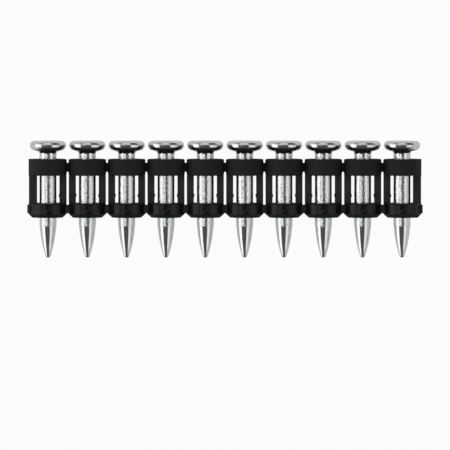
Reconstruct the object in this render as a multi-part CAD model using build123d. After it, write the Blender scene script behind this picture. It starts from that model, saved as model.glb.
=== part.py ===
from build123d import *
import math
import os

# A strip of concrete nails held side by side in one moulded plastic carrier.
# X runs along the strip, Y along the nails with their heads at +Y, and Z is up.
# The strip lies on its side. The origin is at the middle of its footprint, and the
# carrier's collars touch the plane z = 0. All sizes are in millimetres.

# Nail
nail_count = 10
shank_diameter = 3.2
head_overhang = 1.8  # from the side of the shank to the edge of the head
rim_top_radius = 0.78
rim_band = 0.02  # straight stretch between the two rounds of the rim
rim_bottom_radius = 1.0
underside_slope = 14.0  # degrees
neck_radius = 0.5
free_shank = 1.52  # full shank between the lower collar and the point
point_length = 6.07
point_step = 0.06  # the point starts this far inside the side of the shank
point_taper = 3.5  # slope at the start of the point, degrees
tip_radius = 0.5

# Collars round each nail
head_to_collar = 3.4
collar_oversize = 0.125  # from the edge of the head to the side of a collar
collar_gap = 0.35  # between the collars of two neighbours
upper_collar_height = 3.08
lower_collar_height = 2.73
collar_round = 0.25  # at the upper edge of each collar
collar_edge = 0.16  # chamfer at the lower edge of an upper collar
foot_width = 0.76  # chamfer at the lower edge of a lower collar, across and up
foot_height = 0.68
bore_clearance = 0.02
bore_lead = 0.05

# Round mark on the front of each lower collar, with a sloping wall
dimple_diameter = 1.44
dimple_drop = 0.8  # from the top of the collar to the middle of the mark
dimple_depth = 0.12
dimple_wall = 0.28

# Ribs beside the window between the two collars of a nail
window_height = 5.2
window_gap = 0.56  # from the side of the shank to a rib
rib_setback = 0.045  # from the side of a collar to the outer face of a rib
rib_depth = 1.8
rib_edge = 0.2

# Round ejector pad on each inner rib
pad_bulge = 0.13  # into the window
pad_margin = 0.26  # from the outer face of the rib
pad_height = 1.42  # centre above the lower collar
pad_lip = 0.06

# Webs that join neighbouring collars
web_depth = 2.7  # of the lower webs and the end blocks
upper_web_drop = 0.74  # below the top of the upper collar
upper_web_height = 1.65
upper_web_depth = 0.9
lower_web_drop = 0.36  # below the top of the lower collar
lower_web_height = 1.53

# Outer side of the first and the last cage
end_rib_spread = 0.095  # wider than an inner rib, on each side
end_block_reach = 0.12  # past the side of a collar
end_round = 1.0  # along the outer edges of the end blocks
stub_length = 0.235  # of the web that is broken off
stub_round = 0.2
mark_diameter = 1.0
mark_height = 2.49  # centre above the lower collar

# Recess of a pad or an ejector mark, with a sloping wall
recess_depth = 0.15
recess_wall = 0.15

# Radii and places across the strip
shank_radius = shank_diameter / 2
head_radius = shank_radius + head_overhang
collar_radius = head_radius + collar_oversize
bore_radius = shank_radius + bore_clearance
nail_pitch = 2 * collar_radius + collar_gap
rib_inner = shank_radius + window_gap
rib_outer = collar_radius - rib_setback

# Places along a nail
underside_angle = math.radians(underside_slope)
rim_bottom_reach = rim_bottom_radius * math.tan(math.pi / 4 - underside_angle / 2)
rim_height = rim_top_radius + rim_band + rim_bottom_reach
collars_height = upper_collar_height + window_height + lower_collar_height
nail_length = head_to_collar + collars_height + free_shank + point_length
strike_y = nail_length / 2
tip_y = -nail_length / 2
upper_top = strike_y - head_to_collar
upper_bottom = upper_top - upper_collar_height
lower_top = upper_bottom - window_height
lower_bottom = lower_top - lower_collar_height


def cage_x(index):
    """Place along the strip of one nail and its cage."""
    return (index - (nail_count - 1) / 2) * nail_pitch


def block(x_range, y_range, depth):
    """A box between two places in X and in Y, centred in Z."""
    size_x = x_range[1] - x_range[0]
    size_y = y_range[1] - y_range[0]
    center = Pos(sum(x_range) / 2, sum(y_range) / 2, 0)
    return center * Box(size_x, size_y, depth)


def rounded_block(x_range, y_range, depth, radius):
    """A block whose outer edges along Y are rounded."""
    made = block(x_range, y_range, depth)
    outer_edges = made.edges().filter_by(Axis.Y).group_by(Axis.X)[-1]
    return fillet(outer_edges, radius)


def nail():
    """A forged nail about the Y axis, turned from half of its outline."""
    rim_bottom = strike_y - rim_height
    neck_y = rim_bottom - head_overhang * math.tan(underside_angle)
    shoulder_y = tip_y + point_length
    point_radius = shank_radius - point_step
    point_y = shoulder_y - point_step
    upper = FilletPolyline(
        (0, strike_y),
        (head_radius, strike_y),
        (head_radius, rim_bottom),
        (shank_radius, neck_y),
        (shank_radius, shoulder_y),
        radius=[rim_top_radius, rim_bottom_radius, neck_radius],
    )
    shoulder = Line((shank_radius, shoulder_y), (point_radius, point_y))

    # The side of the point is an arc that runs smoothly into the ball of the tip.
    taper = math.radians(point_taper)
    ball = Vector(0, tip_y + tip_radius)
    drop = point_y - ball.Y
    spread = point_radius * math.cos(taper) - drop * math.sin(taper) - tip_radius
    side_radius = (point_radius**2 + drop**2 - tip_radius**2) / (2 * spread)
    side_center = Vector(
        point_radius - side_radius * math.cos(taper),
        point_y + side_radius * math.sin(taper),
    )
    side_end = ball + (ball - side_center).normalized() * tip_radius
    start_direction = (-math.sin(taper), -math.cos(taper))
    side = TangentArc((point_radius, point_y), side_end, tangent=start_direction)
    tip = TangentArc(side_end, (0, tip_y), tangent=side % 1)
    axis = Line((0, tip_y), (0, strike_y))
    return revolve(make_face([upper, shoulder, side, tip, axis]), Axis.Y)


def collar(bottom, top, chamfer_width, chamfer_height):
    """A ring round the nail, rounded at its upper edge and chamfered at its lower one."""
    round_start = (collar_radius - collar_round, top)
    round_end = (collar_radius, top - collar_round)
    sides = Polyline(
        round_start,
        (bore_radius + bore_lead, top),
        (bore_radius, top - bore_lead),
        (bore_radius, bottom + bore_lead),
        (bore_radius + bore_lead, bottom),
        (collar_radius - chamfer_width, bottom),
        (collar_radius, bottom + chamfer_height),
        round_end,
    )
    upper_edge = TangentArc(round_start, round_end, tangent=(1, 0))
    return revolve(make_face([sides, upper_edge]), Axis.Y)


def rib(inner, outer):
    """The upright on the +X side of the window, with its outer corners broken."""
    upright = block((inner, outer), (lower_top, upper_bottom), rib_depth)
    outer_edges = upright.edges().filter_by(Axis.Y).group_by(Axis.X)[-1]
    return chamfer(outer_edges, rib_edge)


def recess(x, y, front, mouth_radius, depth, wall):
    """The shape that cuts a shallow round recess into a front face."""
    base = (Align.CENTER, Align.CENTER, Align.MIN)
    cutter = Cone(mouth_radius - wall, mouth_radius, depth, align=base)
    return Pos(x, y, front - depth) * cutter


def rib_recess(x, y, mouth_radius):
    """The shape that cuts a recess into the front of a rib."""
    return recess(x, y, rib_depth / 2, mouth_radius, recess_depth, recess_wall)


def inner_side():
    """A rib that faces a neighbour, with its round pad."""
    pad_radius = (rib_outer - pad_margin - rib_inner + pad_bulge) / 2
    pad_x = rib_inner - pad_bulge + pad_radius
    pad_y = lower_top + pad_height
    pad = Pos(pad_x, pad_y, 0) * Cylinder(pad_radius, rib_depth)
    return rib(rib_inner, rib_outer) + pad - rib_recess(pad_x, pad_y, pad_radius - pad_lip)


def end_side():
    """The outer side of an end cage: a wider rib, blocks on the collars and a web stub."""
    inner = rib_inner - end_rib_spread
    outer = rib_outer + end_rib_spread
    face = collar_radius + end_block_reach
    upper_range = (upper_bottom, upper_top)
    lower_range = (lower_bottom, lower_top)
    upper_block = rounded_block((inner, face), upper_range, web_depth, end_round)
    foot_outline = Polyline(
        (inner, lower_bottom),
        (face - foot_width, lower_bottom),
        (face, lower_bottom + foot_height),
        (face, lower_top),
        (inner, lower_top),
        close=True,
    )
    foot = extrude(make_face(foot_outline), web_depth / 2, both=True)
    lower_block = foot & rounded_block((inner, face), lower_range, web_depth, end_round)
    stub_end = face + stub_length
    stub = rounded_block((inner, stub_end), lower_web_range(), web_depth, stub_round)
    mark = rib_recess((inner + outer) / 2, lower_top + mark_height, mark_diameter / 2)
    return rib(inner, outer) - mark + upper_block + lower_block + stub


def cage(left_is_end, right_is_end):
    """Both collars of one nail and what stands between them."""
    upper = collar(upper_bottom, upper_top, collar_edge, collar_edge)
    lower = collar(lower_bottom, lower_top, foot_width, foot_height)
    dimple_y = lower_top - dimple_drop
    dimple = recess(0, dimple_y, collar_radius, dimple_diameter / 2, dimple_depth, dimple_wall)
    right = end_side() if right_is_end else inner_side()
    left = end_side() if left_is_end else inner_side()
    return upper + (lower - dimple) + right + mirror(left, about=Plane.YZ)


def upper_web_range():
    """Heights of the lower and the upper side of an upper web."""
    top = upper_top - upper_web_drop
    return (top - upper_web_height, top)


def lower_web_range():
    """Heights of the lower and the upper side of a lower web."""
    top = lower_top - lower_web_drop
    return (top - lower_web_height, top)


def webs():
    """The two webs between neighbours, about the middle of the gap."""
    half_width = nail_pitch / 2 - rib_inner
    lower = block((-half_width, half_width), lower_web_range(), web_depth)

    # The slots above and below the upper web end in a round.
    round_radius = collar_gap / 2
    bottom, top = upper_web_range()
    ends = (bottom - round_radius, top + round_radius)
    upper = block((-half_width, half_width), ends, upper_web_depth)
    for end in ends:
        upper -= Pos(0, end, 0) * Cylinder(round_radius, upper_web_depth)
    return [upper, lower]


def carrier():
    """The whole moulded carrier, about the axes of its nails."""
    last = nail_count - 1
    pieces = [Pos(cage_x(index), 0, 0) * cage(index == 0, index == last)
              for index in range(nail_count)]
    for index in range(last):
        gap_x = cage_x(index) + nail_pitch / 2
        pieces += [Pos(gap_x, 0, 0) * web for web in webs()]
    return Part() + pieces


os.makedirs("parts", exist_ok=True)
axis_height = collar_radius
export_step(Pos(0, 0, axis_height) * carrier(), "parts/carrier_strip.step")
for index in range(nail_count):
    place = Pos(cage_x(index), 0, axis_height)
    export_step(place * nail(), f"parts/nail_{index + 1:02d}.step")
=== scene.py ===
import math

import bpy
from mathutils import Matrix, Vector


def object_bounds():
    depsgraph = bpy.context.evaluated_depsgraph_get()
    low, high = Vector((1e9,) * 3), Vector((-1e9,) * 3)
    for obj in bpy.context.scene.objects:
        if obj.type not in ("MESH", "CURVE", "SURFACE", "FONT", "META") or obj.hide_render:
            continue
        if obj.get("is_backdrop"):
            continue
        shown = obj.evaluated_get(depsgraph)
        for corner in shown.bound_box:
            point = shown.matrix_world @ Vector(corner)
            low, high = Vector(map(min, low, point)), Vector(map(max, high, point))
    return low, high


# Strip of concrete nails lying on its side on a pale floor, seen almost from straight above.
# All sizes are in metres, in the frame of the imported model.

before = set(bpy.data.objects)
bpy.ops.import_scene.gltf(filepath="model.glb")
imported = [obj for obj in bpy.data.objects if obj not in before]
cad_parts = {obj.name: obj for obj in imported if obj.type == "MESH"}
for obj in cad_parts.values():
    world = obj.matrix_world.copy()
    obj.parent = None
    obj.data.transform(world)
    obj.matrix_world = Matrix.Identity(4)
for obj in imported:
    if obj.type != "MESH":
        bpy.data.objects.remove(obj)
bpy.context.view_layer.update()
MM = 0.001

# Framing: where the strip's box lies in the photograph, in pixels
IMAGE_SIZE = 450
STRIP_LEFT = 27.42
STRIP_RIGHT = 422.58
STRIP_TOP = 140.85
STRIP_BOTTOM = 257.85
CAMERA_DISTANCE = 1.5
CAMERA_TILT = 2.3  # degrees from straight down, towards the heads
SENSOR = 36.0  # millimetres, as Blender's cameras have it

# The nails' spacing, and places along them where the finish changes
NAIL_PITCH = 7.4 * MM
NECK_END = 8.4 * MM
UPPER_COLLAR_BOTTOM = 4.52 * MM
LOWER_COLLAR_TOP = -0.68 * MM
FOOT_TOP = -2.73 * MM
POINT_START = -4.93 * MM

# Zinc on the nails
ZINC_DARK = (0.73, 0.76, 0.775)
ZINC_LIGHT = (0.855, 0.87, 0.875)
BLOTCH_SIZE = 1.2 * MM
MOTTLE_SIZE = 0.17 * MM
MOTTLE_SQUEEZE = 0.5  # along the nail, so that the mottle is drawn out twice as long
MOTTLE_DEPTH = 0.04 * MM
MOTTLE_OFF_SHANK = 0.12  # share of the depth that is left on the head and the point
WAVE_SIZE = 0.9 * MM
WAVE_DEPTH = 0.02 * MM
WAVE_STRENGTH = 0.25

# Black plastic of the carrier, each base colour from its darker to its paler cloud: the first its own,
# the second painted light on the ribs and the lower webs, the third painted shade on the lower collars
MATTE = ((0.019, 0.0182, 0.0182), (0.026, 0.025, 0.025))
# Painted light: a paler base colour for the ribs and the lower webs
PAINTED_LIGHT_TONES = ((0.037, 0.0355, 0.0355), (0.048, 0.046, 0.046))
# Painted shade: a darker base colour for the lower collars
PAINTED_SHADE_TONES = ((0.007, 0.0068, 0.0068), (0.011, 0.0105, 0.0105))
CLOUD_SIZE = 2.0 * MM
GRAIN_SIZE = 0.15 * MM
GRAIN_DEPTH = 0.01 * MM
GRAIN_STRENGTH = 0.2
WEB_REACH = 0.4 * MM  # from the middle of a gap to where its web meets the collars

# Floor, and how much of its glow the camera and reflections see
FLOOR_SIZE = 6.0
FLOOR_COLOR = (0.7, 0.7, 0.7, 1)
CAMERA_GLOW = 0.96
GLOSSY_GLOW = 0.4

# Light tent: its wall, darker below the points and beyond the heads, with patches on it.
# Across is the angle from straight up towards +X in degrees, and along is the direction's Y.
# A later patch covers an earlier one.
WHITE = (1, 1, 1, 1)
WARM = (1, 0.9, 0.84, 1)
TENT_WALL = 0.55
TENT_BELOW = 0.04
TENT_BEYOND = 0.3
MIDDLE = (-43, 27)
PATCHES = (
    # strength, across, its softness, along, its softness
    (1.25, (-92, -44), 6, (-0.54, 0.42), 0.12),  # softbox at the left
    (0.95, (31, 62), 5, (-0.5, 0.06), 0.1),  # softbox at the right
    (0.09, MIDDLE, 3, (-0.66, 0.26), 0.12),  # dark opening between them
    (1.2, (-35, -10), 2, (-0.15, 0.07), 0.04),  # narrow card in the opening
    (0.85, (-32, 28), 8, (0.66, 0.9), 0.06),  # pale panel beyond the heads
    (0.22, (-70, -40), 8, (0.56, 0.88), 0.1),  # dim panel at its left
    (0.08, (30, 92), 8, (0.28, 0.88), 0.12),  # dark panel at its right
)


def node_tree(owner):
    """The empty node tree of a material or a world."""
    owner.use_nodes = True
    tree = owner.node_tree
    tree.nodes.clear()
    return tree


def add_node(tree, kind, inputs=None, **properties):
    """A node of that kind. Each input gets a number or a colour, or is joined to a socket."""
    made = tree.nodes.new(kind)
    for name, value in properties.items():
        setattr(made, name, value)
    for name, value in (inputs or {}).items():
        if isinstance(value, bpy.types.NodeSocket):
            tree.links.new(value, made.inputs[name])
        else:
            made.inputs[name].default_value = value
    return made


def calculate(tree, operation, *values):
    """The result of a calculation on numbers or sockets."""
    return add_node(tree, "ShaderNodeMath", dict(enumerate(values)), operation=operation).outputs["Value"]


def mixed(tree, share, first, second, data_type="FLOAT"):
    """The first value, going over to the second as share goes from 0 to 1."""
    inputs = {"Factor": share, "A": first, "B": second}
    return add_node(tree, "ShaderNodeMix", inputs, data_type=data_type).outputs["Result"]


def color_between(tree, share, low, high):
    """The low colour, going over to the high one as share goes from 0 to 1."""
    return mixed(tree, share, (*low, 1), (*high, 1), "RGBA")


def value_between(tree, factor, low, high, from_low=0.0, from_high=1.0):
    """A number that goes from low to high as factor goes over its range."""
    inputs = {
        "Value": factor,
        "From Min": from_low,
        "From Max": from_high,
        "To Min": low,
        "To Max": high,
    }
    made = add_node(tree, "ShaderNodeMapRange", inputs, interpolation_type="SMOOTHSTEP")
    return made.outputs["Result"]


def inside(tree, value, low, high, soft):
    """1 where the value lies between low and high, with soft ends."""
    above = value_between(tree, value, 0, 1, low - soft / 2, low + soft / 2)
    below = value_between(tree, value, 1, 0, high - soft / 2, high + soft / 2)
    return calculate(tree, "MULTIPLY", above, below)


def noise(tree, place, size, detail=3.0):
    """Noise with features of about that size."""
    inputs = {"Vector": place, "Scale": 1 / size, "Detail": detail, "Roughness": 0.55}
    return add_node(tree, "ShaderNodeTexNoise", inputs).outputs["Fac"]


def bump(tree, height, strength, distance, below=None):
    """A normal that follows the height, over the bump below it if there is one."""
    inputs = {"Height": height, "Strength": strength, "Distance": distance}
    if below is not None:
        inputs["Normal"] = below
    return add_node(tree, "ShaderNodeBump", inputs).outputs["Normal"]


def object_place(tree):
    """Each point's place in the frame, and its X and Y by themselves."""
    place = add_node(tree, "ShaderNodeTexCoord").outputs["Object"]
    split = add_node(tree, "ShaderNodeSeparateXYZ", {"Vector": place})
    return place, split.outputs["X"], split.outputs["Y"]


def finish_surface(tree, shader):
    """Makes the shader the material's surface."""
    add_node(tree, "ShaderNodeOutputMaterial", {"Surface": shader.outputs[0]})


def steel():
    """Bright zinc over steel: mottled on the drawn shank, smoother on the head and the point."""
    material = bpy.data.materials.new("zinc_plated_steel")
    tree = node_tree(material)
    place, x, y = object_place(tree)
    shank = inside(tree, y, POINT_START, NECK_END, 0.3 * MM)

    squeeze = {0: place, 1: (1, MOTTLE_SQUEEZE, 1)}
    drawn = add_node(tree, "ShaderNodeVectorMath", squeeze, operation="MULTIPLY")
    mottle = noise(tree, drawn.outputs["Vector"], MOTTLE_SIZE, detail=1.0)
    waves = bump(tree, noise(tree, place, WAVE_SIZE, detail=1.0), WAVE_STRENGTH, WAVE_DEPTH)
    mottle_strength = value_between(tree, shank, MOTTLE_OFF_SHANK, 1.0)
    shader = add_node(tree, "ShaderNodeBsdfPrincipled", {
        "Metallic": 1.0,
        "Base Color": color_between(tree, noise(tree, place, BLOTCH_SIZE), ZINC_DARK, ZINC_LIGHT),
        "Roughness": value_between(tree, mottle, 0.04, 0.07, 0.3, 0.7),
        "Normal": bump(tree, mottle, mottle_strength, MOTTLE_DEPTH, waves),
    })
    finish_surface(tree, shader)
    return material


def plastic():
    """Black moulded plastic: polished on the lower collars, matte elsewhere.

    The lower collars get a darker base colour, which is painted shade, and the ribs and the lower webs
    the palest one, which is painted light.
    """
    material = bpy.data.materials.new("black_plastic")
    tree = node_tree(material)
    place, x, y = object_place(tree)
    edge = 0.1 * MM

    # Shares of each finish and of the painted light and shade, from 0 to 1
    from_gap = calculate(tree, "PINGPONG", x, NAIL_PITCH / 2)
    web = value_between(tree, from_gap, 1, 0, WEB_REACH - edge, WEB_REACH + edge)
    off_web = calculate(tree, "SUBTRACT", 1.0, web)
    lower = value_between(tree, y, 1, 0, LOWER_COLLAR_TOP - edge / 2, LOWER_COLLAR_TOP + edge / 2)
    side = inside(tree, y, FOOT_TOP, LOWER_COLLAR_TOP, edge)
    ribs = inside(tree, y, LOWER_COLLAR_TOP, UPPER_COLLAR_BOTTOM, edge)
    # Painted shade: the lower collars, off the webs, get the darker base colour
    painted_shade_share = calculate(tree, "MULTIPLY", lower, off_web)
    polished = calculate(tree, "MULTIPLY", side, off_web)
    # Painted light: the ribs and the lower webs get the paler base colour
    painted_light_share = calculate(tree, "MAXIMUM", ribs, calculate(tree, "MULTIPLY", lower, web))

    cloud = noise(tree, place, CLOUD_SIZE)
    grain = noise(tree, place, GRAIN_SIZE)
    matte_color, painted_light_color, painted_shade_color = (color_between(tree, cloud, *pair)
                                           for pair in (MATTE, PAINTED_LIGHT_TONES, PAINTED_SHADE_TONES))
    # The paler base colour mixed in here is painted light
    color = mixed(tree, painted_light_share, matte_color, painted_light_color, "RGBA")
    matte_roughness = value_between(tree, grain, 0.62, 0.8)
    polished_roughness = value_between(tree, cloud, 0.2, 0.26)
    shader = add_node(tree, "ShaderNodeBsdfPrincipled", {
        "IOR": 1.5,
        "Specular IOR Level": 0.27,
        # Base colour with painted shade on the lower collars
        "Base Color": mixed(tree, painted_shade_share, color, painted_shade_color, "RGBA"),
        "Roughness": mixed(tree, polished, matte_roughness, polished_roughness),
        "Normal": bump(tree, grain, GRAIN_STRENGTH, GRAIN_DEPTH),
    })
    finish_surface(tree, shader)
    return material


def white_floor():
    """White that glows to the camera, so that only a faint shadow is left on it."""
    material = bpy.data.materials.new("white_floor")
    tree = node_tree(material)
    diffuse = add_node(tree, "ShaderNodeBsdfDiffuse", {"Color": FLOOR_COLOR})
    glow = add_node(tree, "ShaderNodeEmission", {"Color": WHITE, "Strength": 1.0})
    path = add_node(tree, "ShaderNodeLightPath")
    to_camera = calculate(tree, "MULTIPLY", path.outputs["Is Camera Ray"], CAMERA_GLOW)
    to_gloss = calculate(tree, "MULTIPLY", path.outputs["Is Glossy Ray"], GLOSSY_GLOW)
    both = add_node(tree, "ShaderNodeMixShader", {
        "Fac": calculate(tree, "MAXIMUM", to_camera, to_gloss),
        1: diffuse.outputs["BSDF"],
        2: glow.outputs["Emission"],
    })
    finish_surface(tree, both)
    return material


def floor():
    """The surface that the strip lies on."""
    half = FLOOR_SIZE / 2
    corners = [(-half, -half, 0), (half, -half, 0), (half, half, 0), (-half, half, 0)]
    mesh = bpy.data.meshes.new("floor")
    mesh.from_pydata(corners, [], [(0, 1, 2, 3)])
    mesh.materials.append(white_floor())
    plane = bpy.data.objects.new("floor", mesh)
    bpy.context.scene.collection.objects.link(plane)
    plane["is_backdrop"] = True


def tent():
    """The world as a light tent, which the camera sees as plain white."""
    world = bpy.data.worlds.new("tent")
    bpy.context.scene.world = world
    tree = node_tree(world)
    direction = add_node(tree, "ShaderNodeTexCoord").outputs["Generated"]
    split = add_node(tree, "ShaderNodeSeparateXYZ", {"Vector": direction})
    turn = calculate(tree, "ARCTAN2", split.outputs["X"], split.outputs["Z"])
    across = calculate(tree, "DEGREES", turn)
    along = split.outputs["Y"]

    level = value_between(tree, along, TENT_BELOW, TENT_WALL, -0.66, -0.46)
    level = mixed(tree, value_between(tree, along, 0, 1, 0.84, 0.94), level, TENT_BEYOND)
    for strength, across_range, across_soft, along_range, along_soft in PATCHES:
        sides = inside(tree, across, *across_range, across_soft)
        ends = inside(tree, along, *along_range, along_soft)
        level = mixed(tree, calculate(tree, "MULTIPLY", sides, ends), level, strength)

    # What the points reflect of the dark opening is a little warm.
    middle = inside(tree, across, *MIDDLE, 3)
    below = value_between(tree, along, 1, 0, -0.2, -0.1)
    tint = mixed(tree, calculate(tree, "MULTIPLY", middle, below), WHITE, WARM, "RGBA")

    light = add_node(tree, "ShaderNodeBackground", {"Color": tint, "Strength": level})
    white = add_node(tree, "ShaderNodeBackground", {"Color": WHITE})
    path = add_node(tree, "ShaderNodeLightPath")
    both = add_node(tree, "ShaderNodeMixShader", {
        "Fac": path.outputs["Is Camera Ray"],
        1: light.outputs["Background"],
        2: white.outputs["Background"],
    })
    add_node(tree, "ShaderNodeOutputWorld", {"Surface": both.outputs["Shader"]})


def camera():
    """A long lens almost straight above, with the strip where the photograph has it."""
    low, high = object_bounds()
    per_pixel = (high.x - low.x) / (STRIP_RIGHT - STRIP_LEFT)
    middle_x = (STRIP_LEFT + STRIP_RIGHT) / 2
    middle_y = (STRIP_TOP + STRIP_BOTTOM) / 2
    aim = Vector((
        (low.x + high.x) / 2 - (middle_x - IMAGE_SIZE / 2) * per_pixel,
        (low.y + high.y) / 2 + (middle_y - IMAGE_SIZE / 2) * per_pixel,
        (low.z + high.z) / 2,
    ))
    data = bpy.data.cameras.new("camera")
    data.sensor_width = SENSOR
    data.lens = SENSOR * CAMERA_DISTANCE / (per_pixel * IMAGE_SIZE)
    data.clip_start = 0.05
    data.clip_end = 20
    made = bpy.data.objects.new("camera", data)
    tilt = math.radians(CAMERA_TILT)
    made.location = aim + CAMERA_DISTANCE * Vector((0, math.sin(tilt), math.cos(tilt)))
    made.rotation_euler = (-tilt, 0, 0)
    bpy.context.scene.collection.objects.link(made)
    bpy.context.scene.camera = made


def give(node, material):
    """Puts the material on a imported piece."""
    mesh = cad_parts[node].data
    mesh.materials.clear()
    mesh.materials.append(material)


zinc = steel()
for name in sorted(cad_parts):
    if name.startswith("nail_"):
        give(name, zinc)
give("carrier_strip", plastic())

floor()
tent()
camera()
bpy.context.scene.view_settings.view_transform = "Standard"
